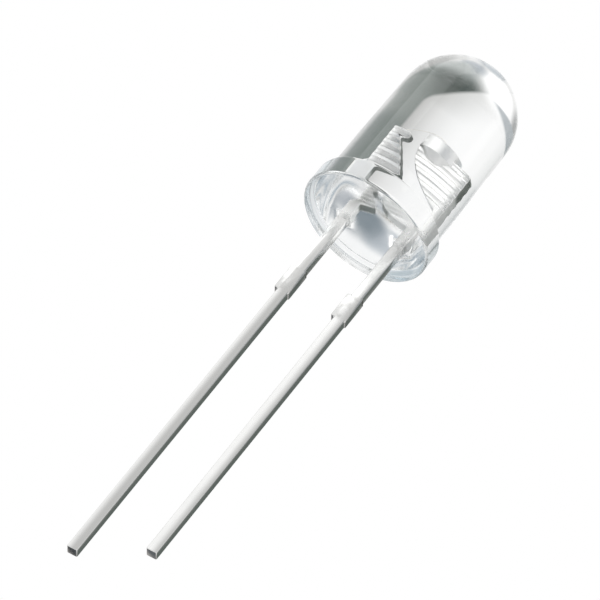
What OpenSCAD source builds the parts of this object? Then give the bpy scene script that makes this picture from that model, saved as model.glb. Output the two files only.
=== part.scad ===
// Round 5 mm LED lamp: a water clear epoxy body cast round a stamped two-lead frame.
// Z is the optical axis and points out of the dome. The origin is the centre of the
// seating face, the flat underside of the flange, and the leads run down from it.
// X points from the anode to the cathode. All sizes are in millimetres.

/* [Lens] */
// Height of the dome's tip above the seating face
lens_h = 9.1; // [8.4:0.1:12]
// Radius of the dome
dome_r = 2.45; // [2.25:0.05:2.47]
// Diameter of the barrel where it is straight
barrel_d = 5.05; // [4.95:0.05:5.2]
// Straight stretch of the barrel above the flange, below the draft
land_h = 2; // [1:0.1:3]
// Diameter of the flange
flange_d = 5.6; // [5.5:0.05:6.2]
// Thickness of the flange
flange_h = 1; // [0.7:0.05:1.3]
// Rounding of the flange's edges
edge_r = 0.12; // [0.05:0.01:0.15]
// Fillet between the flange and the barrel
root_r = 0.12; // [0.05:0.01:0.2]

/* [Leads] */
// Side of the square lead, which is also the thickness of the stamped strip
lead_w = 0.46; // [0.4:0.01:0.52]
// Distance between the leads' centres
lead_pitch = 2.54; // [2.45:0.01:2.7]
// Length of the anode below the seating face
anode_l = 19.1; // [12:0.1:30]
// Length of the cathode below the seating face
cathode_l = 17.6; // [11:0.1:28]
// How far the frame sits off the lens axis, towards the cathode
frame_x = 0.36; // [-0.3:0.02:0.4]

/* [Dam bar stubs] */
// Distance from the seating face down to the stubs
stub_drop = 3.2; // [2:0.1:5]
// Length of a stub along its lead
stub_h = 1.25; // [0.8:0.05:1.8]
// How far a stub stands out on the anode's side
stub_left = 0.16; // [0.05:0.01:0.3]
// How far a stub stands out on the cathode's side
stub_right = 0.05; // [0.02:0.01:0.3]

/* [Anvil] */
// Height of the anvil's top edge above the seating face
anvil_top = 4.15; // [4.1:0.05:4.25]
// Height of the lowest point of the anvil's curved underside
anvil_root = 1.8; // [1.6:0.05:2.2]
// Rounding of the anvil's outer top corner
anvil_corner = 0.15; // [0.05:0.01:0.25]
// Fillet between the anvil's underside and its lead
anvil_fillet = 0.2; // [0.05:0.01:0.3]

/* [Reflector cup] */
// Outer diameter of the cup
cup_d = 1.12; // [1:0.02:1.2]
// Height of the cup's rim above the seating face
cup_rim = 4.45; // [4.3:0.05:4.8]
// Height of the cup's straight outside, above its tapered foot
cup_h = 0.6; // [0.5:0.05:0.8]
// Height of the tapered foot that runs the cup into the anvil
cup_foot = 0.35; // [0.2:0.05:0.5]
// Wall of the cup at its rim
cup_wall = 0.1; // [0.06:0.01:0.14]
// Depth of the reflector
cup_depth = 0.34; // [0.3:0.01:0.4]
// Diameter of the reflector's flat floor
cup_floor = 0.5; // [0.44:0.02:0.56]

/* [Anode flag] */
// Height of the bonding head above the seating face
post_top = 4.15; // [4.1:0.05:4.3]
// Thickness of the bonding head
head_h = 0.4; // [0.25:0.05:0.5]
// Width of the bonding head
head_w = 0.46; // [0.42:0.01:0.55]
// Height of the flag's lower edge
flag_root = 1.87; // [1.8:0.01:2.1]
// How much higher the flag's lower corner is
flag_rise = 0.28; // [0.1:0.02:0.4]
// Width of the flag at its lower corner
flag_w = 0.85; // [0.6:0.01:0.9]
// Width of the flag's neck under the head
neck_w = 0.28; // [0.24:0.01:0.36]
// Step from the lead's outer edge in to the flag's
flag_step = 0.22; // [0.1:0.01:0.24]

/* [Coined grooves] */
// Height of the lowest groove's middle
groove_z = 2.24; // [2.2:0.01:2.3]
// Distance from groove to groove
groove_pitch = 0.42; // [0.36:0.01:0.44]
// Width of a groove at the surface
groove_w = 0.28; // [0.15:0.01:0.3]
// Depth of a groove
groove_depth = 0.04; // [0.02:0.01:0.08]
// Number of grooves
groove_count = 5; // [1:1:5]

/* [Chip and wire] */
// Side of the square chip
chip_w = 0.3; // [0.2:0.01:0.3]
// Thickness of the chip
chip_h = 0.2; // [0.1:0.01:0.24]
// Diameter of the chip's top contact
pad_d = 0.11; // [0.09:0.01:0.14]
// Thickness of the chip's top contact
pad_h = 0.01; // [0.005:0.001:0.02]
// Thickness of the adhesive under the chip
glue_h = 0.02; // [0.01:0.005:0.04]
// Diameter of the adhesive bed
glue_d = 0.44; // [0.43:0.01:0.44]
// Diameter of the bond wire
wire_d = 0.025; // [0.02:0.001:0.04]
// Diameter of the ball on the chip's contact
ball_d = 0.08; // [0.07:0.005:0.09]
// How high above the cup's rim the wire's loop is pulled
loop_rise = 0.45; // [0.35:0.01:0.7]

/* [Hidden] */
$fn = 96;

barrel_r = barrel_d / 2;
flange_r = flange_d / 2;
dome_z = lens_h - dome_r;
land_top = flange_h + land_h;
// The draft runs from the top of the land to where it touches the dome.
draft_angle = atan((barrel_r - dome_r) / (dome_z - land_top));

anode_x = frame_x - lead_pitch / 2;
cathode_x = frame_x + lead_pitch / 2;
cup_r = cup_d / 2;
cup_base = cup_rim - cup_h;
cup_neck_r = cup_r * 0.9;
cup_floor_z = cup_rim - cup_depth;
flag_x = anode_x - lead_w / 2 + flag_step;
shoulder_h = 2 * flag_step;
over = 1;

chip_z = cup_floor_z + glue_h;
pad_top = chip_z + chip_h + pad_h;
ball_h = ball_d / 2;
stitch_x = flag_x + head_w * 0.4;
stitch_l = 3 * wire_d;
loop_steps = 18;
tube_sides = 10;
head_round = head_h * 0.4;

// Stands each drawing up in the XZ plane, as thick as the strip and centred on Y = 0.
module stamped() {
    rotate([90, 0, 0])
        for (i = [0 : $children - 1])
            linear_extrude(height = lead_w, center = true)
                children(i);
}

// Half section of the lens: flange with rounded edges, root fillet, barrel and dome.
module lens_section() {
    intersection() {
        square([flange_r, lens_h]);
        union() {
            translate([0, dome_z])
                circle(r = dome_r);
            polygon([
                [0, 0], [barrel_r, 0], [barrel_r, land_top],
                [dome_r * cos(draft_angle), dome_z + dome_r * sin(draft_angle)],
                [0, dome_z + dome_r * sin(draft_angle)]
            ]);
            translate([0, edge_r])
                square([flange_r, flange_h - 2 * edge_r]);
            square([flange_r - edge_r, flange_h]);
            for (z = [edge_r, flange_h - edge_r])
                translate([flange_r - edge_r, z])
                    circle(r = edge_r);
            difference() {
                translate([0, flange_h - edge_r])
                    square([barrel_r + root_r, edge_r + root_r]);
                translate([barrel_r + root_r, flange_h + root_r])
                    circle(r = root_r);
            }
        }
    }
}

// A square lead from its cut end up to a height, with the stub of the dam bar.
module lead_outline(x, length, top) {
    translate([x - lead_w / 2, -length])
        square([lead_w, length + top]);
    translate([x - lead_w / 2 - stub_left, -stub_drop - stub_h])
        square([stub_left + lead_w + stub_right, stub_h]);
}

// Grooves pressed across both faces of the strip, as prisms to cut away.
module coined_grooves() {
    translate([frame_x, 0, groove_z])
        for (turn = [0, 180], i = [0 : groove_count - 1])
            rotate([0, 0, turn])
                translate([0, lead_w / 2, i * groove_pitch])
                    rotate([90, 0, 90])
                        linear_extrude(height = lead_pitch + lead_w + 2 * over, center = true)
                            polygon([
                                [-groove_depth, -groove_w / 4],
                                [groove_depth, -3 * groove_w / 4],
                                [groove_depth, 3 * groove_w / 4],
                                [-groove_depth, groove_w / 4]
                            ]);
}

// The anvil's flat outline: straight outer edge, level top, and an underside on one arc that
// starts level at the outer edge and ends at the side of the cup.
module anvil_outline() {
    outer = cathode_x + lead_w / 2;
    inner = cathode_x - lead_w / 2;
    span = outer - (frame_x - cup_neck_r);
    rise = cup_base - anvil_root;
    arc_r = (span * span + rise * rise) / (2 * rise);
    arc_z = anvil_root + arc_r;
    fillet_x = inner - anvil_fillet;
    fillet_z = arc_z - sqrt(arc_r * arc_r - (outer - fillet_x) * (outer - fillet_x)) - anvil_fillet;
    intersection() {
        translate([outer, arc_z])
            circle(r = arc_r);
        difference() {
            translate([outer - span, anvil_root])
                square([span, anvil_top - anvil_root]);
            translate([outer - anvil_corner, anvil_top - anvil_corner])
                difference() {
                    square(anvil_corner + over);
                    circle(r = anvil_corner);
                }
        }
    }
    difference() {
        translate([fillet_x, fillet_z])
            square([anvil_fillet + lead_w / 2, anvil_fillet * 2]);
        translate([fillet_x, fillet_z])
            circle(r = anvil_fillet);
    }
}

// The round cup and its tapered foot, solid.
module cup_blank() {
    translate([frame_x, 0, cup_base])
        cylinder(h = cup_h, r = cup_r);
    translate([frame_x, 0, cup_base - cup_foot])
        cylinder(h = cup_foot, r1 = cup_neck_r / 2, r2 = cup_r);
}

// The flag's outline: it stands a step in from the lead's outer edge and leans in to the neck.
module flag_outline() {
    outer = anode_x - lead_w / 2;
    inner = anode_x + lead_w / 2;
    polygon([
        [outer, flag_root - lead_w], [outer, flag_root - shoulder_h / 4],
        [flag_x, flag_root + shoulder_h * 3 / 4], [flag_x, post_top - head_h / 2],
        [flag_x + neck_w, post_top - head_h / 2], [flag_x + neck_w, post_top - head_h],
        [flag_x + flag_w, flag_root + flag_rise], [inner, flag_root],
        [inner, flag_root - lead_w]
    ]);
}

// The bonding head's outline, with the corners of its free end rounded.
module head_outline() {
    difference() {
        translate([flag_x, post_top - head_h])
            square([head_w, head_h]);
        for (side = [0, 1])
            translate([
                flag_x + head_w - head_round,
                post_top - (side ? head_h - head_round : head_round)
            ])
                mirror([0, side])
                    difference() {
                        square(head_round + over);
                        circle(r = head_round);
                    }
    }
}

// A point on the smooth curve that a list of control points pulls.
function pulled(points, t) =
    len(points) == 1 ? points[0]
    : pulled([for (i = [1 : len(points) - 1]) points[i - 1] * (1 - t) + points[i] * t], t);

// A round tube along a path in the XZ plane.
module tube_along(path, d) {
    last = len(path) - 1;
    ways = [for (i = [0 : last]) path[min(i + 1, last)] - path[max(i - 1, 0)]];
    points = [
        for (i = [0 : last], k = [0 : tube_sides - 1])
            let (
                out = [-ways[i].y, ways[i].x] / norm(ways[i]) * cos(k * 360 / tube_sides) * d / 2
            )
            [path[i].x + out.x, sin(k * 360 / tube_sides) * d / 2, path[i].y + out.y]
    ];
    walls = [
        for (i = [0 : last - 1], k = [0 : tube_sides - 1])
            let (near = i * tube_sides, far = near + tube_sides, next = (k + 1) % tube_sides)
            [near + k, near + next, far + next, far + k]
    ];
    start = [for (k = [tube_sides - 1 : -1 : 0]) k];
    end = [for (k = [0 : tube_sides - 1]) last * tube_sides + k];
    polyhedron(points, concat([start], walls, [end]));
}

// One solid casting that holds the metal tight.
module epoxy_lens() {
    color([0.82, 0.9, 0.92, 0.35])
        difference() {
            rotate_extrude()
                lens_section();
            cathode_lead();
            anode_lead();
            die_attach();
            led_chip();
            bond_wire();
        }
}

// The shorter lead, which carries the anvil and the reflector cup.
module cathode_lead() {
    color("silver")
        difference() {
            union() {
                difference() {
                    stamped() {
                        lead_outline(cathode_x, cathode_l, anvil_root + anvil_corner);
                        anvil_outline();
                    }
                    coined_grooves();
                }
                cup_blank();
            }
            translate([frame_x, 0, cup_floor_z])
                cylinder(h = cup_depth, d1 = cup_floor, r2 = cup_r - cup_wall);
            translate([frame_x, 0, cup_rim])
                cylinder(h = over, r = cup_r);
        }
}

// The longer lead, which carries the flag and the bonding head.
module anode_lead() {
    color("silver")
        difference() {
            stamped() {
                lead_outline(anode_x, anode_l, flag_root - lead_w / 2);
                flag_outline();
                head_outline();
            }
            coined_grooves();
        }
}

// Conductive adhesive between the chip and the cup's floor.
module die_attach() {
    color("gainsboro")
        translate([frame_x, 0, cup_floor_z])
            cylinder(h = glue_h, d = glue_d);
}

// The chip and the round contact on its top.
module led_chip() {
    color("lightyellow")
        translate([frame_x, 0, chip_z]) {
            translate([-chip_w / 2, -chip_w / 2, 0])
                cube([chip_w, chip_w, chip_h]);
            translate([0, 0, chip_h])
                cylinder(h = pad_h, d = pad_d);
        }
}

// The wire: ball on the contact, up, over the cup's rim and down to its stitch on the head.
module bond_wire() {
    seat = wire_d * 0.3;
    loop_z = cup_rim + loop_rise;
    pull = [
        [frame_x, pad_top + ball_h / 2], [frame_x, loop_z],
        [frame_x - cup_r, loop_z], [stitch_x, post_top + seat]
    ];
    color("gold")
        difference() {
            union() {
                tube_along([for (i = [0 : loop_steps]) pulled(pull, i / loop_steps)], wire_d);
                intersection() {
                    translate([frame_x, 0, pad_top + ball_h / 4])
                        sphere(d = ball_d);
                    translate([frame_x - ball_d, -ball_d, pad_top])
                        cube([2 * ball_d, 2 * ball_d, ball_h]);
                }
                translate([stitch_x - stitch_l / 2, -wire_d, post_top])
                    cube([stitch_l, 2 * wire_d, seat]);
            }
            translate([flag_x, -over, post_top - over])
                cube([head_w, 2 * over, over]);
        }
}

epoxy_lens();
cathode_lead();
anode_lead();
die_attach();
led_chip();
bond_wire();
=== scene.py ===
"""A round 5 mm lamp with a water clear lens, dressed for rendering.

Lengths are in metres, in the same frame as the solids: Z runs out of the dome, X runs from the
anode to the cathode, and the origin is the centre of the seating face. Inside the finishes
lengths are in millimetres.
"""

import math

import bmesh
import bpy
from mathutils import Matrix, Vector


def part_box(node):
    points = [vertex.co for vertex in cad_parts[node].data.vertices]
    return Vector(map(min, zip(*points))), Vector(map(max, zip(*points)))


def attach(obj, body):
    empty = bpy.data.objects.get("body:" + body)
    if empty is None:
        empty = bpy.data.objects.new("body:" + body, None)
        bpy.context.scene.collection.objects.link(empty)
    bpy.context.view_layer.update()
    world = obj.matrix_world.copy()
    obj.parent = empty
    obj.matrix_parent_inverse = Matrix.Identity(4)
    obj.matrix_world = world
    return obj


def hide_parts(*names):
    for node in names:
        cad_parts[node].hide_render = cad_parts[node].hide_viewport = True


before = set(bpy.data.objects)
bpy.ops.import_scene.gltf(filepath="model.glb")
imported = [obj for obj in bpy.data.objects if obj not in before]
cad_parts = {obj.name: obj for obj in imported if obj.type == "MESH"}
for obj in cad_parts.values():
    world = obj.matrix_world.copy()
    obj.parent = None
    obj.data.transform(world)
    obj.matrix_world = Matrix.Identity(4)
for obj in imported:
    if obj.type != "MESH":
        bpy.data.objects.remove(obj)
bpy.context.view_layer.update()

bl_info = {
    "name": "Clear Round Lamp",
    "version": (1, 0, 0),
    "blender": (4, 5, 0),
    "location": "View3D > Sidebar > Lamp",
    "description": "Casts the clear lens, plates the leads and lights the lamp for a picture",
    "category": "Add Mesh",
}

MM = 0.001
WHITE = (1, 1, 1, 1)

# The solids' own sizes, and the places that follow from them. The cup's wall is the way from the
# chip's side to clear of the cup.
_, LENS_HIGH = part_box("epoxy_lens")
ANODE_LOW, ANODE_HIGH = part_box("anode_lead")
CHIP_LOW, CHIP_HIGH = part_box("led_chip")
STRIP = ANODE_HIGH.y - ANODE_LOW.y
LEAD_PITCH = 2.54 * MM
AXIS_X = (CHIP_LOW.x + CHIP_HIGH.x) / 2
LEAD_XS = (AXIS_X - LEAD_PITCH / 2, AXIS_X + LEAD_PITCH / 2)
CUP_WALL = 0.45 * MM
CUP_R = CHIP_HIGH.x - AXIS_X + CUP_WALL
CUP_FOOT_Z = 3 * MM

# How finely the shapes are made. A support is the gap from the end of a rounding to the ring
# that keeps the stretch beside it straight.
SPIN_STEPS, DOME_STEPS, EDGE_STEPS, ROLL_STEPS = 256, 64, 8, 3
BASE_RINGS = 60
FLOOR_STEPS = 96
SUPPORT = 0.01 * MM
MERGE = 1e-7
ON_BASE = 1e-6 * MM

# Angles between two faces: less than flat is one face, more than a corner is rolled over, and
# more than sharp is drawn as an edge.
FLAT_ANGLE = math.radians(0.5)
CORNER_ANGLE = math.radians(60)
SHARP_ANGLE = math.radians(25)

# Where the finishes change, in millimetres. Each pair says where a change starts and where it
# is full. Heights are over the seating face, and a reach is a distance from the lens's axis.
FREE_HEIGHT = (0.05, -0.02)
SATIN_HEIGHT = (0.2, 0.02)
# The rim and corner places below are where painted shade, a blue-grey tint, is laid on the clear
# epoxy.
RIM_REACH = (2.45, 2.68)
RIM_CATHODE_X, RIM_BACK_Y = (0.8, 1.7), (-0.6, 0.6)
RIM_ANODE_X = (-1.0, -2.4)
CORNER_REACH = (2.05, 2.35)
CORNER_FROM_X, CORNER_TO_X, CORNER_Y = (0.6, 1.1), (2.6, 2.1), (0.6, 1.3)
SILVER_HEIGHT = (-0.1, 0.4)
# The stamped sides inside the lens get painted shade, full above a sloping line and light below it.
SIDE_SHADE_X, SIDE_SHADE_HEIGHT, SIDE_SHADE_BAND = (-0.5, 1.0), (1.5, 2.9), (-0.15, 0.25)
STAMPED_Y, STAMPED_REACH = (0.19, 0.165), (0.68, 0.8)
CUP_REACH = (1.1, 0.6)
# The floors of the flag's grooves, placed below, get painted shade.
GROOVE_Z, GROOVE_PITCH, GROOVE_BAND = 2.24, 0.42, (0.17, 0.12)
FLAG_HEIGHT, FLAG_FROM_X, FLAG_TO_X = (2.0, 2.1), (-0.88, -0.74), (0.1, -0.2)
# The front strip is painted shade: a darker band down one side of each lead's front, weaker near
# the base.
SHADE_STRIP, SHADE_HEIGHT = (-0.14, 0.2), (-0.3, -3)
SHIFT_X, ANODE_SHIFT, CATHODE_SHIFT = 0.1, 0.12, -0.05
STUB_TOP, STUB_FOOT = (-3.1, -3.3), (-4.6, -4.35)
CUT_HEIGHT = (-2.5, -3.0)
CONTACT_DEPTH = (0.009, 0.006)

# Which way a face of the frame looks, as a share of its normal.
SIDE_FACE, FLAT_FACE = (0.75, 0.3), (0.6, 0.2)
FRONT_FACE, FLANK_FACE, CUT_FACE = (-0.5, -0.9), (0.5, 0.9), (0.7, 0.95)

# How far each change goes: the share of a colour that it brings, or the roughness that it adds.
RIM_ANODE_SHARE = 0.6
RIPPLE_SHARE = 0.3
STREAK_SHARE, MOTTLE_BAND = 0.5, (0.3, 0.7)
# The strip and flank shares bring painted shade; the mottle and stub shares are the tin's own.
SHADE_LEAST, MOTTLE_DULL, FLANK_SHADE = 0.3, 0.15, 0.75
STUB_BAND, STUB_DULL = (0.35, 0.65), (0.45, 0.85)
# The least share of painted shade on the stamped sides, below the sloping line.
SIDE_SHADE_LEAST = 0.15
SATIN_ROUGH = 0.13
TIN_ROUGH, SILVER_ROUGH = 0.2, 0.26
MOTTLE_ROUGH, CUP_ROUGH, STAMPED_ROUGH = 0.06, 0.1, 0.25
FLAKE_BAND, FLAKE_METAL_BAND = (0.5, 0.1), (0.2, 0.8)

# The studio's wall, in slopes across and up from the camera's straight ahead. Each pair says
# where a soft edge starts and where it is full. A line is its slope and its height at the middle.
AHEAD_LEAST, AHEAD_EDGE = 0.02, (0.1, 0.3)
CARD_STEP, CARD_TOP, CARD_FOOT = (0.22, 0.55), (0.03, -0.03), (-1.5, -1.0)
CARD_LEFT, CARD_RIGHT, CARD_TURN = (-0.56, -0.17), (1.9, 1.2), (0.0, 0.5)
CARD_SINK_SLOPE, CARD_SINK = 0.9, (-0.4, -0.95)
BACKDROP_FADE, BACKDROP_TURN = (0.43, -0.02), (-0.4, 0.4)
FLAP_TOP_LINE, FLAP_TOP_EDGE = (-1.2, -0.82), (0.06, -0.08)
FLAP_FOOT_LINE, FLAP_FOOT_EDGE = (-0.5, -0.51), (0.0, 0.07)
FLAP_SIDE = (-0.38, -0.7)

# Soft round cards about the studio: azimuth and elevation of the middle, radius at full tone,
# radius at which it has died out, in degrees, and the tone.
PATCHES = (
    (-42, -20, 12, 25, (1.2, 1.2, 1.2)),
    (106, 62, 5, 15, (0.5, 0.54, 0.58)),
    (100, 20, 8, 20, (0.5, 0.52, 0.55)),
    (116, 44, 6, 24, (0.2, 0.24, 0.27)),
    (-70, 12, 6, 22, (0.3, 0.31, 0.31)),
    (-110, -50, 12, 36, (0.42, 0.46, 0.5)),
    (-130, 5, 20, 60, (0.8, 0.8, 0.8)),
    (-64, -48, 6, 20, (0.38, 0.44, 0.49)),
    (-20, -44, 4, 16, (0.42, 0.46, 0.5)),
)

# The soft box over the lamp, in metres, with its height over the camera's axis in degrees.
BOX_SIZE, BOX_AWAY, BOX_ELEVATION = 0.09, 0.12, 77

# The share of its radius within which the floor is solid, and where the view ends, in metres.
FLOOR_FULL = 0.3
VIEW_END = 10
LIGHT_BOUNCES = 32


# ---------------------------------------------------------------- node helpers


def rgba(tone, shade=1.0):
    """A colour with its alpha, darkened by a shade under 1."""
    return [channel * shade for channel in tone] + [1]


class Net:
    """A node tree under construction. A value given to a node is a number, a colour or a socket."""

    def __init__(self, tree):
        self.tree = tree

    def node(self, kind, settings=None, **inputs):
        """A shader node. An input's name is written with _ for each space."""
        made = self.tree.nodes.new("ShaderNode" + kind)
        for name, value in (settings or {}).items():
            setattr(made, name, value)
        for name, value in inputs.items():
            self.feed(made.inputs[name.replace("_", " ")], value)
        return made

    def feed(self, socket, value):
        """Links a socket to an input, or sets the input's own value."""
        if isinstance(value, bpy.types.NodeSocket):
            self.tree.links.new(value, socket)
        else:
            socket.default_value = value

    def fill(self, node, values):
        """Feeds a node's inputs by their numbers."""
        for number, value in values.items():
            self.feed(node.inputs[number], value)
        return node

    def math(self, operation, *values):
        made = self.node("Math", {"operation": operation})
        return self.fill(made, dict(enumerate(values))).outputs[0]

    def vector(self, operation, *values):
        """A vector operation's result: a number for a length, a distance or a dot product."""
        made = self.node("VectorMath", {"operation": operation})
        self.fill(made, dict(enumerate(values)))
        numeric = operation in ("LENGTH", "DISTANCE", "DOT_PRODUCT")
        return made.outputs["Value" if numeric else "Vector"]

    def split(self, vector):
        """A vector's X, Y and Z."""
        return tuple(self.node("SeparateXYZ", Vector=vector).outputs)

    def total(self, *values):
        """The sum of numbers and sockets."""
        result = values[0]
        for value in values[1:]:
            result = self.math("ADD", result, value)
        return result

    def product(self, *values):
        """The product of numbers and sockets."""
        result = values[0]
        for value in values[1:]:
            result = self.math("MULTIPLY", result, value)
        return result

    def ramp(self, value, start, end, low=0.0, high=1.0):
        """A smooth step: low while value is at start, high once it is at end."""
        made = self.node(
            "MapRange",
            {"interpolation_type": "SMOOTHSTEP"},
            Value=value,
            From_Min=start,
            From_Max=end,
            To_Min=low,
            To_Max=high,
        )
        return made.outputs["Result"]

    def mix(self, share, first, second):
        """A colour between first, at a share of 0, and second, at 1."""
        made = self.node("Mix", {"data_type": "RGBA"})
        return self.fill(made, {0: share, 6: first, 7: second}).outputs[2]

    def noise(self, vector, scale, detail=2.0):
        made = self.node("TexNoise", Vector=vector, Scale=scale, Detail=detail)
        return made.outputs["Fac"]

    def bump(self, height, strength, depth):
        """The normals of a relief that is this deep, in metres."""
        made = self.node("Bump", Strength=strength, Distance=depth, Height=height)
        return made.outputs["Normal"]

    def coords(self, scale=(1, 1, 1)):
        """Object coordinates in millimetres, stretched by a scale."""
        place = self.node("TexCoord").outputs["Object"]
        made = self.node("Mapping", Vector=place, Scale=[s / MM for s in scale])
        return made.outputs["Vector"]

    def speckle(self, vector, scale, tone, other):
        """A tone that drifts towards another in soft grains, as (colour, grain)."""
        group = bpy.data.node_groups["speckle"]
        made = self.node(
            "Group", {"node_tree": group}, Vector=vector, Scale=scale, Tone=tone, Other=other
        )
        return made.outputs["Colour"], made.outputs["Grain"]


def new_material(name):
    """An empty node material, as (material, net, output)."""
    material = bpy.data.materials.new(name)
    material.use_nodes = True
    net = Net(material.node_tree)
    material.node_tree.nodes.clear()
    return material, net, net.node("OutputMaterial")


def finish(net, output, **inputs):
    """Puts a principled shader with these inputs on a material's output."""
    shader = net.node("BsdfPrincipled", **inputs)
    net.feed(output.inputs["Surface"], shader.outputs["BSDF"])


def speckle_group():
    """Makes the node group that the finishes share: a tone that drifts in soft grains."""
    tree = bpy.data.node_groups.new("speckle", "ShaderNodeTree")
    inputs = (("Vector", "Vector"), ("Scale", "Float"), ("Tone", "Color"), ("Other", "Color"))
    outputs = (("Colour", "Color"), ("Grain", "Float"))
    for direction, sockets in (("INPUT", inputs), ("OUTPUT", outputs)):
        for name, kind in sockets:
            tree.interface.new_socket(
                name=name, in_out=direction, socket_type="NodeSocket" + kind
            )
    net = Net(tree)
    given = tree.nodes.new("NodeGroupInput").outputs
    made = tree.nodes.new("NodeGroupOutput").inputs
    grain = net.noise(given["Vector"], given["Scale"])
    net.feed(made["Colour"], net.mix(grain, given["Tone"], given["Other"]))
    net.feed(made["Grain"], grain)


# ---------------------------------------------------------------- lens


def arc(cx, cz, radius, start, end, steps):
    """Points on an arc in the section plane, from one angle to another in degrees."""
    turn = (end - start) / steps
    return [
        (
            cx + radius * math.cos(math.radians(start + turn * i)),
            cz + radius * math.sin(math.radians(start + turn * i)),
        )
        for i in range(steps + 1)
    ]


def lens_section(props):
    """The lens's outer half section as (radius, height) points, from the base to the tip."""
    height, flange_r = LENS_HIGH.z, LENS_HIGH.x
    edge, root = props.edge_r, props.root_r
    barrel_r, dome_r = props.barrel_d / 2, props.dome_r
    dome_z = height - dome_r
    land_top = props.flange_h + props.land_h
    draft = math.degrees(math.atan((barrel_r - dome_r) / (dome_z - land_top)))
    base_r = flange_r - edge - SUPPORT
    points = [(base_r * i / BASE_RINGS, 0) for i in range(BASE_RINGS + 1)]
    points += arc(flange_r - edge, edge, edge, -90, 0, EDGE_STEPS)
    points += [(flange_r, edge + SUPPORT), (flange_r, props.flange_h - edge - SUPPORT)]
    points += arc(flange_r - edge, props.flange_h - edge, edge, 0, 90, EDGE_STEPS)
    points += [(flange_r - edge - SUPPORT, props.flange_h)]
    points += arc(barrel_r + root, props.flange_h + root, root, 270, 180, EDGE_STEPS)
    points += [(barrel_r, props.flange_h + root + SUPPORT), (barrel_r, land_top)]
    points += arc(0, dome_z, dome_r, draft, 90, DOME_STEPS)
    return points


def creep(props, x, y):
    """How far the epoxy creeps down the leads at a place on the base."""
    gap = min(
        math.hypot(max(abs(x - lead_x) - STRIP / 2, 0), max(abs(y) - STRIP / 2, 0))
        for lead_x in LEAD_XS
    )
    return props.creep_h * math.exp(-gap / props.creep_w)


def build_lens(props):
    """Spins the section into a closed skin and draws the base out along the leads."""
    mesh = bmesh.new()
    verts = [mesh.verts.new((max(r, 0), 0, z)) for r, z in lens_section(props)]
    edges = [mesh.edges.new(pair) for pair in zip(verts, verts[1:])]
    bmesh.ops.spin(
        mesh,
        geom=verts + edges,
        cent=(0, 0, 0),
        axis=(0, 0, 1),
        angle=math.tau,
        steps=SPIN_STEPS,
        use_merge=True,
    )
    bmesh.ops.remove_doubles(mesh, verts=mesh.verts, dist=MERGE)
    bmesh.ops.recalc_face_normals(mesh, faces=mesh.faces)
    for vert in mesh.verts:
        if vert.co.z < ON_BASE:
            vert.co.z -= creep(props, vert.co.x, vert.co.y)
    for face in mesh.faces:
        face.smooth = True
    return add_piece("lens_casting", mesh)


def add_piece(name, mesh):
    """Turns a bmesh into an object at the origin."""
    data = bpy.data.meshes.new(name)
    mesh.to_mesh(data)
    mesh.free()
    piece = bpy.data.objects.new(name, data)
    bpy.context.scene.collection.objects.link(piece)
    return piece


def clear_epoxy(props):
    """Water clear epoxy, satin on the base, with painted shade: a blue-grey tint laid on parts of
    the flange's rim.

    The painted shade has no limit in height, so it also colours the barrel, mostly behind the
    cathode.
    """
    material, net, output = new_material("clear_epoxy")
    at = net.coords()
    x, y, height = net.split(at)
    reach = net.vector("LENGTH", net.vector("MULTIPLY", at, (1, 1, 0)))

    # Painted shade: the rim and corner masks lay a blue-grey tint on parts of the flange's rim and
    # up the barrel behind the cathode.
    cathode_back = net.product(net.ramp(x, *RIM_CATHODE_X), net.ramp(y, *RIM_BACK_Y))
    anode_side = net.ramp(x, *RIM_ANODE_X, high=RIM_ANODE_SHARE)
    rim = net.product(net.ramp(reach, *RIM_REACH), net.total(cathode_back, anode_side))
    corner = net.product(
        net.ramp(reach, *CORNER_REACH),
        net.ramp(x, *CORNER_FROM_X),
        net.ramp(x, *CORNER_TO_X),
        net.ramp(y, *CORNER_Y),
    )
    clear, _ = net.speckle(at, 0.6, WHITE, rgba(props.tint))
    # The epoxy's own faint tint, with the painted blue-grey shade of the rim laid over it.
    tint = net.mix(net.math("MAXIMUM", rim, corner), clear, rgba(props.rim))

    free = net.ramp(height, *FREE_HEIGHT)
    ripples = net.product(net.noise(at, scale=5.0), free, RIPPLE_SHARE)
    waves = net.total(net.noise(at, scale=0.9), ripples)
    finish(
        net,
        output,
        Base_Color=tint,
        Metallic=0.0,
        Roughness=net.ramp(height, *SATIN_HEIGHT, high=SATIN_ROUGH),
        IOR=1.53,
        Transmission_Weight=1.0,
        Normal=net.bump(waves, strength=0.04, depth=0.02 * MM),
    )
    return material


# ---------------------------------------------------------------- metal


def on_cup(co):
    """Whether a point is on the reflector cup."""
    return math.hypot(co.x - AXIS_X, co.y) < CUP_R and co.z > CUP_FOOT_Z


def build_frame_half(name, node, props):
    """A lead from its solid, with its stamped edges rolled over."""
    mesh = bmesh.new()
    mesh.from_mesh(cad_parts[node].data)
    bmesh.ops.remove_doubles(mesh, verts=mesh.verts, dist=MERGE)
    bmesh.ops.dissolve_limit(mesh, angle_limit=FLAT_ANGLE, verts=mesh.verts, edges=mesh.edges)
    corners = [e for e in mesh.edges if e.calc_face_angle(0) > CORNER_ANGLE]
    fine = [e for e in corners if all(on_cup(v.co) for v in e.verts)]
    coarse = [e for e in corners if e not in fine]
    for edges, width in ((coarse, props.roll), (fine, props.fine_roll)):
        bmesh.ops.bevel(
            mesh,
            geom=[e for e in edges if e.is_valid],
            offset=width,
            offset_type="OFFSET",
            affect="EDGES",
            segments=ROLL_STEPS,
            profile=0.5,
            material=-1,
            clamp_overlap=False,
        )
    for face in mesh.faces:
        face.smooth = True
    for edge in mesh.edges:
        edge.smooth = edge.calc_face_angle(0) < SHARP_ANGLE
    return add_piece(name, mesh)


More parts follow.
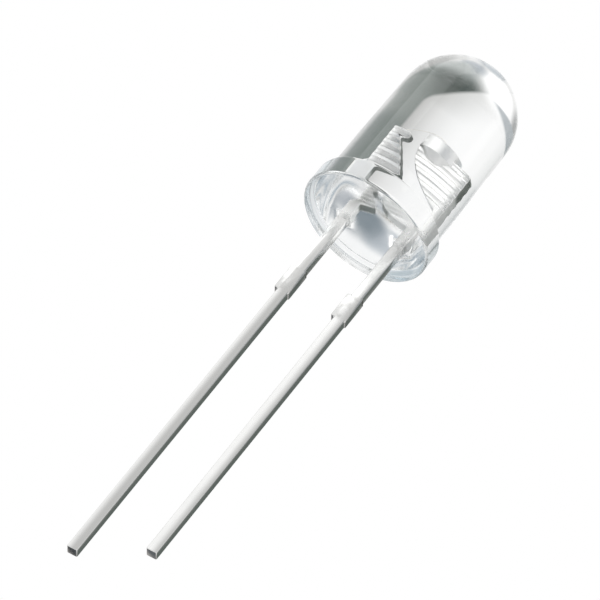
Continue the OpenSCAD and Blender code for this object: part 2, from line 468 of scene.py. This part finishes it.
def mottle(net, at):
    """Soft blotches with fine streaks along the lead, as (mask, relief)."""
    blotches = net.noise(at, scale=2.0, detail=3.0)
    stretched = net.node("Mapping", Vector=at, Scale=(9, 9, 0.5))
    streaks = net.noise(stretched.outputs["Vector"], scale=1.6)
    both = net.fill(net.node("Mix"), {0: STREAK_SHARE, 2: blotches, 3: streaks})
    relief = both.outputs[0]
    return net.ramp(relief, *MOTTLE_BAND), relief


def lead_tin(net, props, at, facing, mask):
    """The leads' tin, with painted shade on the flanks and down one side of the front, and darker
    blotches on the stubs.
    """
    x, _, height = net.split(at)
    facing_x, facing_y, _ = facing
    first, pitch, axis = LEAD_XS[0] / MM, LEAD_PITCH / MM, AXIS_X / MM
    # Painted shade: a darker strip down one side of each lead's front, fading towards the base, and
    # darker flanks.
    on_lead = net.math("WRAP", x, first + pitch / 2, first - pitch / 2)
    shift = net.ramp(x, axis - SHIFT_X, axis + SHIFT_X, ANODE_SHIFT, CATHODE_SHIFT)
    strip = net.ramp(net.total(on_lead, shift), *(first + edge for edge in SHADE_STRIP))
    front = net.product(
        strip, net.ramp(facing_y, *FRONT_FACE), net.ramp(height, *SHADE_HEIGHT, low=SHADE_LEAST)
    )
    flank_shade = net.ramp(net.math("ABSOLUTE", facing_x), *FLANK_FACE)
    stub = net.product(net.ramp(height, *STUB_TOP), net.ramp(height, *STUB_FOOT))
    patchy = net.ramp(net.noise(at, scale=3.0), *STUB_BAND, *STUB_DULL)
    tin = rgba(props.tin)
    for share in (
        front,
        net.product(mask, MOTTLE_DULL),
        net.product(flank_shade, FLANK_SHADE),
        net.product(stub, patchy),
    ):
        tin = net.mix(share, tin, rgba(props.dull_and_shade))
    return tin


def frame_silver(net, props, at, side, mask):
    """The frame's silver, with painted shade on the floors of the flag's grooves."""
    x, _, height = net.split(at)
    # Painted shade: the floors of the grooves on the flag are darkened.
    groove = net.math("WRAP", height, GROOVE_Z + GROOVE_PITCH / 2, GROOVE_Z - GROOVE_PITCH / 2)
    groove = net.math("ABSOLUTE", net.math("SUBTRACT", groove, GROOVE_Z))
    groove_shade = net.product(
        net.ramp(groove, *GROOVE_BAND),
        net.ramp(side, *FLAT_FACE),
        net.ramp(height, *FLAG_HEIGHT),
        net.ramp(x, *FLAG_FROM_X),
        net.ramp(x, *FLAG_TO_X),
    )
    silver = net.mix(mask, rgba(props.silver), rgba(props.silver, shade=0.97))
    return net.mix(groove_shade, silver, rgba(props.groove_shade))


def plated_metal(props):
    """Tin on the leads, silver on the frame in the lens, painted shade on the stamped sides, and
    bare cut ends.
    """
    material, net, output = new_material("plated_metal")
    at = net.coords()
    x, y, height = net.split(at)
    facing = net.split(net.node("TexCoord").outputs["Normal"])
    _, facing_y, facing_z = facing
    mask, relief = mottle(net, at)
    inside = net.ramp(height, *SILVER_HEIGHT)
    side = net.ramp(net.math("ABSOLUTE", facing_y), *SIDE_FACE)
    from_chip = net.vector("DISTANCE", at, (AXIS_X / MM, 0, CHIP_LOW.z / MM))
    cup = net.ramp(from_chip, *CUP_REACH)

    # Painted shade: the stamped sides inside the lens take a dark tone, full above a sloping line.
    stamped = net.product(
        side,
        inside,
        net.ramp(net.math("ABSOLUTE", y), *STAMPED_Y),
        net.ramp(from_chip, *STAMPED_REACH),
    )
    side_shade_from = net.ramp(x, *SIDE_SHADE_X, *SIDE_SHADE_HEIGHT)
    side_shade = net.ramp(net.math("SUBTRACT", height, side_shade_from), *SIDE_SHADE_BAND, low=SIDE_SHADE_LEAST)
    downward = net.ramp(net.math("MULTIPLY", facing_z, -1), *CUT_FACE)
    cut = net.product(downward, net.ramp(height, *CUT_HEIGHT))

    tin = lead_tin(net, props, at, facing, mask)
    colour = net.mix(inside, tin, frame_silver(net, props, at, side, mask))
    colour = net.mix(net.product(stamped, side_shade), colour, rgba(props.stamped_side_shade))
    colour = net.mix(cut, colour, rgba(props.steel))
    rough = net.total(
        net.product(mask, MOTTLE_ROUGH),
        net.ramp(height, *SILVER_HEIGHT, TIN_ROUGH, SILVER_ROUGH),
        net.product(cup, CUP_ROUGH),
        net.product(stamped, STAMPED_ROUGH),
    )
    finish(
        net,
        output,
        Base_Color=colour,
        Metallic=1.0,
        Roughness=rough,
        Normal=net.bump(relief, strength=0.04, depth=0.01 * MM),
    )
    return material


def chip_stone(props):
    """The chip: pale crystal with sawn sides, and a metal contact on its top."""
    material, net, output = new_material("chip_stone")
    at = net.coords()
    _, _, height = net.split(at)
    stone, grain = net.speckle(at, 30.0, rgba(props.chip), rgba(props.chip, shade=0.8))
    contact = net.ramp(height, *(CHIP_HIGH.z / MM - depth for depth in CONTACT_DEPTH))
    finish(
        net,
        output,
        Base_Color=net.mix(contact, stone, rgba(props.bond)),
        Metallic=contact,
        Roughness=net.total(net.product(grain, 0.2), 0.25),
        Normal=net.bump(grain, strength=0.2, depth=0.002 * MM),
    )
    return material


def silver_adhesive(props):
    """Adhesive filled with silver flakes."""
    material, net, output = new_material("silver_adhesive")
    flakes = net.node("TexVoronoi", Vector=net.coords(), Scale=60.0)
    shine = net.ramp(flakes.outputs["Distance"], *FLAKE_BAND)
    finish(
        net,
        output,
        Base_Color=net.mix(shine, rgba(props.adhesive, shade=0.7), rgba(props.adhesive)),
        Metallic=net.ramp(shine, *FLAKE_METAL_BAND, low=0.4),
        Roughness=net.ramp(shine, 0, 1, low=0.6, high=0.35),
        Normal=net.bump(shine, strength=0.3, depth=0.004 * MM),
    )
    return material


def drawn_wire(props):
    """Drawn bond wire with faint die marks."""
    material, net, output = new_material("drawn_wire")
    along = net.coords(scale=(1, 6, 1))
    colour, marks = net.speckle(along, 25.0, rgba(props.bond), rgba(props.bond, shade=0.85))
    finish(
        net,
        output,
        Base_Color=colour,
        Metallic=1.0,
        Roughness=net.ramp(marks, 0, 1, low=0.16, high=0.28),
        Normal=net.bump(marks, strength=0.1, depth=0.001 * MM),
    )
    return material


def set_material(name, material):
    """Puts a material in every slot of a CAD node's object."""
    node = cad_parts[name]
    if not node.material_slots:
        node.data.materials.append(material)
    for slot in node.material_slots:
        slot.material = material


# ---------------------------------------------------------------- stage


def camera_turn(props):
    """The camera's axes, right, up and back, as a rotation."""
    aside = Vector((math.cos(props.spin), math.sin(props.spin), 0))
    nearer = Vector((math.sin(props.spin), -math.cos(props.spin), 0))
    back = nearer * math.cos(props.rise) + Vector((0, 0, math.sin(props.rise)))
    along = back.cross(aside)
    right = aside * math.cos(props.roll) + along * math.sin(props.roll)
    up = along * math.cos(props.roll) - aside * math.sin(props.roll)
    return Matrix((right, up, back)).transposed()


def place_camera(props):
    """A long lens that sees the lamp from under its base."""
    turn = camera_turn(props)
    data = bpy.data.cameras.new("camera")
    data.lens = data.sensor_width * props.distance / props.width
    data.clip_start = props.distance / 100
    data.clip_end = VIEW_END
    camera = bpy.data.objects.new("camera", data)
    bpy.context.scene.collection.objects.link(camera)
    away = turn @ Vector((0, 0, props.distance))
    camera.matrix_world = Matrix.Translation(Vector(props.aim) + away) @ turn.to_4x4()
    bpy.context.scene.camera = camera


def toward(azimuth, elevation):
    """A direction in the camera's axes: azimuth is to the right of straight ahead, in degrees."""
    a, e = math.radians(azimuth), math.radians(elevation)
    return Vector((math.sin(a) * math.cos(e), math.sin(e), -math.cos(a) * math.cos(e)))


def light_world(props):
    """A white studio. A dark card low behind the lamp draws the edges of the glass, with a grey
    flap on its left, and soft patches stand round the sides."""
    world = bpy.data.worlds.new("studio")
    bpy.context.scene.world = world
    world.use_nodes = True
    world.node_tree.nodes.clear()
    net = Net(world.node_tree)
    seen = net.node(
        "Mapping",
        {"vector_type": "VECTOR"},
        Vector=net.node("TexCoord").outputs["Generated"],
        Rotation=camera_turn(props).transposed().to_euler(),
    ).outputs["Vector"]
    right, up, back = net.split(seen)
    ahead = net.math("MAXIMUM", net.math("MULTIPLY", back, -1), AHEAD_LEAST)
    across = net.math("DIVIDE", right, ahead)
    height = net.math("DIVIDE", up, ahead)
    front = net.ramp(ahead, *AHEAD_EDGE)
    edge = net.ramp(across, *CARD_STEP, props.card_edge, props.card_rise)
    over = net.math("SUBTRACT", height, edge)

    low = net.mix(
        net.ramp(across, *BACKDROP_TURN), rgba(props.backdrop), rgba(props.backdrop_side)
    )
    colour = net.mix(net.product(net.ramp(over, *BACKDROP_FADE), front), WHITE, low)
    for azimuth, elevation, inner, outer, tone in PATCHES:
        near = net.vector("DOT_PRODUCT", seen, toward(azimuth, elevation))
        share = net.ramp(near, *(math.cos(math.radians(radius)) for radius in (outer, inner)))
        colour = net.mix(share, colour, rgba(tone))
    colour = net.mix(flap_mask(net, across, height, front), colour, rgba(props.flap))

    card = net.product(
        net.ramp(over, *CARD_TOP),
        net.ramp(across, *CARD_LEFT),
        net.ramp(across, *CARD_RIGHT),
        net.ramp(height, *CARD_FOOT),
    )
    dark = net.mix(net.ramp(across, *CARD_TURN), rgba(props.card), rgba(props.card_side))
    sunk = net.math("MULTIPLY_ADD", across, CARD_SINK_SLOPE, height)
    dark = net.mix(net.ramp(sunk, *CARD_SINK), dark, rgba(props.card_low))
    colour = net.mix(card, colour, dark)

    colour = net.mix(net.node("LightPath").outputs["Is Camera Ray"], colour, WHITE)
    background = net.node("Background", Color=colour, Strength=1.0)
    net.feed(net.node("OutputWorld").inputs["Surface"], background.outputs["Background"])


def flap_mask(net, across, height, front):
    """Where the flap stands: between two sloping lines, left of the card."""
    top, foot = (
        net.math("SUBTRACT", height, net.math("MULTIPLY_ADD", across, *line))
        for line in (FLAP_TOP_LINE, FLAP_FOOT_LINE)
    )
    return net.product(
        net.ramp(top, *FLAP_TOP_EDGE),
        net.ramp(foot, *FLAP_FOOT_EDGE),
        net.ramp(across, *FLAP_SIDE),
        front,
    )


def light_lamp(props):
    """One wide soft box over the lamp, as the camera sees it."""
    data = bpy.data.lights.new("soft_box", "AREA")
    data.size = BOX_SIZE
    data.energy = props.lamp_power
    lamp = bpy.data.objects.new("soft_box", data)
    lamp.visible_camera = False
    bpy.context.scene.collection.objects.link(lamp)
    away = camera_turn(props) @ toward(0, BOX_ELEVATION)
    facing = away.to_track_quat("Z", "Y").to_matrix().to_4x4()
    lamp.matrix_world = Matrix.Translation(away * BOX_AWAY) @ facing


def build_floor(props):
    """A round of pale floor under the cut ends of the leads."""
    mesh = bmesh.new()
    bmesh.ops.create_circle(mesh, cap_ends=True, radius=props.floor_r, segments=FLOOR_STEPS)
    bmesh.ops.translate(mesh, vec=(0, 0, ANODE_LOW.z), verts=mesh.verts)
    floor = add_piece("floor", mesh)
    floor.data.materials.append(pale_floor(props))
    return floor


def pale_floor(props):
    """Matt white that fades out towards its rim and isn't there from below."""
    material, net, output = new_material("pale_floor")
    at = net.coords()
    colour, _ = net.speckle(at, 0.8, rgba(props.floor), rgba(props.floor, shade=0.97))
    matt = net.node("BsdfDiffuse", Color=colour)
    clear = net.node("BsdfTransparent")
    rim = props.floor_r / MM
    fade = net.ramp(net.vector("LENGTH", at), rim, rim * FLOOR_FULL)
    rays = net.node("LightPath").outputs
    seen = net.math("MAXIMUM", rays["Is Camera Ray"], rays["Is Diffuse Ray"])
    above = net.math("SUBTRACT", 1.0, net.node("NewGeometry").outputs["Backfacing"])
    share = net.product(seen, above, fade)
    blend = net.fill(
        net.node("MixShader"), {0: share, 1: clear.outputs["BSDF"], 2: matt.outputs["BSDF"]}
    )
    net.feed(output.inputs["Surface"], blend.outputs["Shader"])
    return material


def set_light_paths():
    """Enough bounces for light to leave the clear lens after it has run round inside."""
    cycles = bpy.context.scene.cycles
    cycles.max_bounces = LIGHT_BOUNCES
    cycles.glossy_bounces = LIGHT_BOUNCES
    cycles.transmission_bounces = LIGHT_BOUNCES


# ---------------------------------------------------------------- settings


def length(name, description, default):
    return bpy.props.FloatProperty(
        name=name, description=description, default=default, unit="LENGTH", precision=5
    )


def turn_angle(name, description, degrees):
    return bpy.props.FloatProperty(
        name=name, description=description, default=math.radians(degrees), subtype="ANGLE"
    )


def paint(name, description, default):
    return bpy.props.FloatVectorProperty(
        name=name, description=description, default=default, subtype="COLOR", min=0, max=1
    )


class LensSettings(bpy.types.PropertyGroup):
    """Sizes and colours of the clear casting, and its painted shade."""

    dome_r: length("Dome radius", "Radius of the dome", 2.45 * MM)
    barrel_d: length("Barrel", "Diameter of the barrel", 5.05 * MM)
    land_h: length("Land", "Straight stretch of the barrel", 2 * MM)
    flange_h: length("Flange", "Thickness of the flange", 1 * MM)
    edge_r: length("Edge", "Rounding of the flange's edges", 0.12 * MM)
    root_r: length("Root", "Fillet over the flange", 0.12 * MM)
    creep_h: length("Creep", "How far the epoxy creeps down the leads", 0.2 * MM)
    creep_w: length("Creep width", "Distance over which the creep dies out", 0.12 * MM)
    tint: paint("Tint", "Colour of the epoxy", (0.985, 0.995, 0.99))
    # Painted shade: the blue-grey tint laid on the flange's rim and on the barrel behind the
    # cathode.
    rim: paint("Rim", "Tint at the flange's rim and behind the cathode", (0.5, 0.57, 0.61))


class MetalSettings(bpy.types.PropertyGroup):
    """Edges, platings and painted shades of the frame, and the colours of what is bonded to it."""

    roll: length("Rolled edge", "Rounding of the stamped edges", 0.06 * MM)
    fine_roll: length("Cup edge", "Rounding of the edges round the cup", 0.02 * MM)
    tin: paint("Tin", "Plating of the leads", (0.94, 0.94, 0.93))
    # Painted shade on the leads' front strip and flanks, and also the tin's own darker mottle and
    # stub blotches.
    dull_and_shade: paint("Dull tin", "The same where it set dull", (0.52, 0.52, 0.51))
    silver: paint("Silver", "Plating inside the lens", (0.99, 0.99, 0.98))
    # Painted shade in the floors of the flag's grooves.
    groove_shade: paint("Coined groove", "Floor of the grooves in the flag", (0.64, 0.64, 0.63))
    # Painted shade on the stamped sides inside the lens.
    stamped_side_shade: paint("Sheared side", "Stamped sides inside the lens", (0.26, 0.28, 0.26))
    steel: paint("Steel", "Bare steel at the cut ends", (0.25, 0.24, 0.23))
    adhesive: paint("Adhesive", "Silver-filled adhesive under the chip", (0.8, 0.8, 0.79))
    chip: paint("Chip", "Crystal of the chip", (0.62, 0.6, 0.5))
    bond: paint("Bond", "Silver alloy bond wire and the chip's contact", (0.93, 0.91, 0.86))


class StageSettings(bpy.types.PropertyGroup):
    """Where the camera stands, and what is round the lamp."""

    spin: turn_angle("Spin", "Turn of the camera round the lamp", 22.4)
    rise: turn_angle("Rise", "Height of the camera over the seating plane", -32.5)
    roll: turn_angle("Roll", "Lean of the lamp's axis in the picture, clockwise", 39.2)
    distance: length("Distance", "From the camera to its aim", 0.3)
    width: length("Width", "Width of the view at the aim", 22.86 * MM)
    aim: bpy.props.FloatVectorProperty(
        name="Aim",
        description="Point at the middle of the picture",
        default=(-0.19 * MM, 0, -4.35 * MM),
        subtype="TRANSLATION",
    )
    card_edge: bpy.props.FloatProperty(
        name="Card edge",
        description="Slope down to the top edge of the dark card",
        default=-0.295,
    )
    card_rise: bpy.props.FloatProperty(
        name="Card rise",
        description="Slope down to the card's top edge at its right",
        default=-0.175,
    )
    card: paint("Card", "The dark card under its top edge", (0.045, 0.062, 0.053))
    card_side: paint("Card side", "The dark card at its right", (0.15, 0.178, 0.163))
    card_low: paint("Card foot", "The dark card at its foot", (0.42, 0.45, 0.44))
    flap: paint("Flap", "The grey flap that stands left of the card", (0.46, 0.495, 0.52))
    backdrop: paint("Backdrop", "The white backdrop just over the card", (0.8, 0.8, 0.79))
    backdrop_side: paint("Backdrop side", "The same at its right", (0.44, 0.44, 0.43))
    floor: paint("Floor", "Colour of the floor", (0.93, 0.93, 0.93))
    floor_r: length("Floor radius", "Radius of the floor", 0.12)
    lamp_power: bpy.props.FloatProperty(
        name="Soft box", description="Power of the soft box", default=0.02, unit="POWER"
    )


# ---------------------------------------------------------------- operators


class LAMP_OT_effects(bpy.types.Operator):
    """Make the surface effects that the finishes share"""

    bl_idname = "lamp.effects"
    bl_label = "Surface effects"

    def execute(self, context):
        speckle_group()
        return {"FINISHED"}


class LAMP_OT_lens(bpy.types.Operator):
    """Cast the clear lens"""

    bl_idname = "lamp.lens"
    bl_label = "Lens"

    def execute(self, context):
        lens = build_lens(context.scene.lamp_lens)
        lens.data.materials.append(clear_epoxy(context.scene.lamp_lens))
        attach(lens, "root")
        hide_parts("epoxy_lens")
        return {"FINISHED"}


class LAMP_OT_leads(bpy.types.Operator):
    """Roll the leads' edges, plate them and finish the chip, its adhesive and its wire"""

    bl_idname = "lamp.leads"
    bl_label = "Leads"

    def execute(self, context):
        metal = context.scene.lamp_metal
        plating = plated_metal(metal)
        for name, node in (("cathode_frame", "cathode_lead"), ("anode_frame", "anode_lead")):
            piece = build_frame_half(name, node, metal)
            piece.data.materials.append(plating)
            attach(piece, "root")
            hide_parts(node)
        set_material("die_attach", silver_adhesive(metal))
        set_material("led_chip", chip_stone(metal))
        set_material("bond_wire", drawn_wire(metal))
        return {"FINISHED"}


class LAMP_OT_stage(bpy.types.Operator):
    """Set up the camera, the floor and the light"""

    bl_idname = "lamp.stage"
    bl_label = "Stage"

    def execute(self, context):
        stage = context.scene.lamp_stage
        place_camera(stage)
        light_world(stage)
        light_lamp(stage)
        build_floor(stage)
        set_light_paths()
        context.scene.view_settings.view_transform = "Standard"
        return {"FINISHED"}


class LAMP_PT_panel(bpy.types.Panel):
    """The lamp's steps, in order"""

    bl_label = "Clear Round Lamp"
    bl_idname = "LAMP_PT_panel"
    bl_space_type = "VIEW_3D"
    bl_region_type = "UI"
    bl_category = "Lamp"

    def draw(self, context):
        for operator in OPERATORS:
            self.layout.operator(operator.bl_idname)


SETTINGS = (
    ("lamp_lens", LensSettings),
    ("lamp_metal", MetalSettings),
    ("lamp_stage", StageSettings),
)
OPERATORS = (LAMP_OT_effects, LAMP_OT_lens, LAMP_OT_leads, LAMP_OT_stage)
CLASSES = tuple(kind for _, kind in SETTINGS) + OPERATORS + (LAMP_PT_panel,)


def register():
    """Adds the classes, and the settings to the scene."""
    for cls in CLASSES:
        bpy.utils.register_class(cls)
    for name, kind in SETTINGS:
        setattr(bpy.types.Scene, name, bpy.props.PointerProperty(type=kind))


def unregister():
    """Takes them away again."""
    for name, _ in SETTINGS:
        delattr(bpy.types.Scene, name)
    for cls in reversed(CLASSES):
        bpy.utils.unregister_class(cls)


def main():
    """Builds the lamp and its stage."""
    register()
    bpy.ops.lamp.effects()
    bpy.ops.lamp.lens()
    bpy.ops.lamp.leads()
    bpy.ops.lamp.stage()


if __name__ == "__main__":
    main()
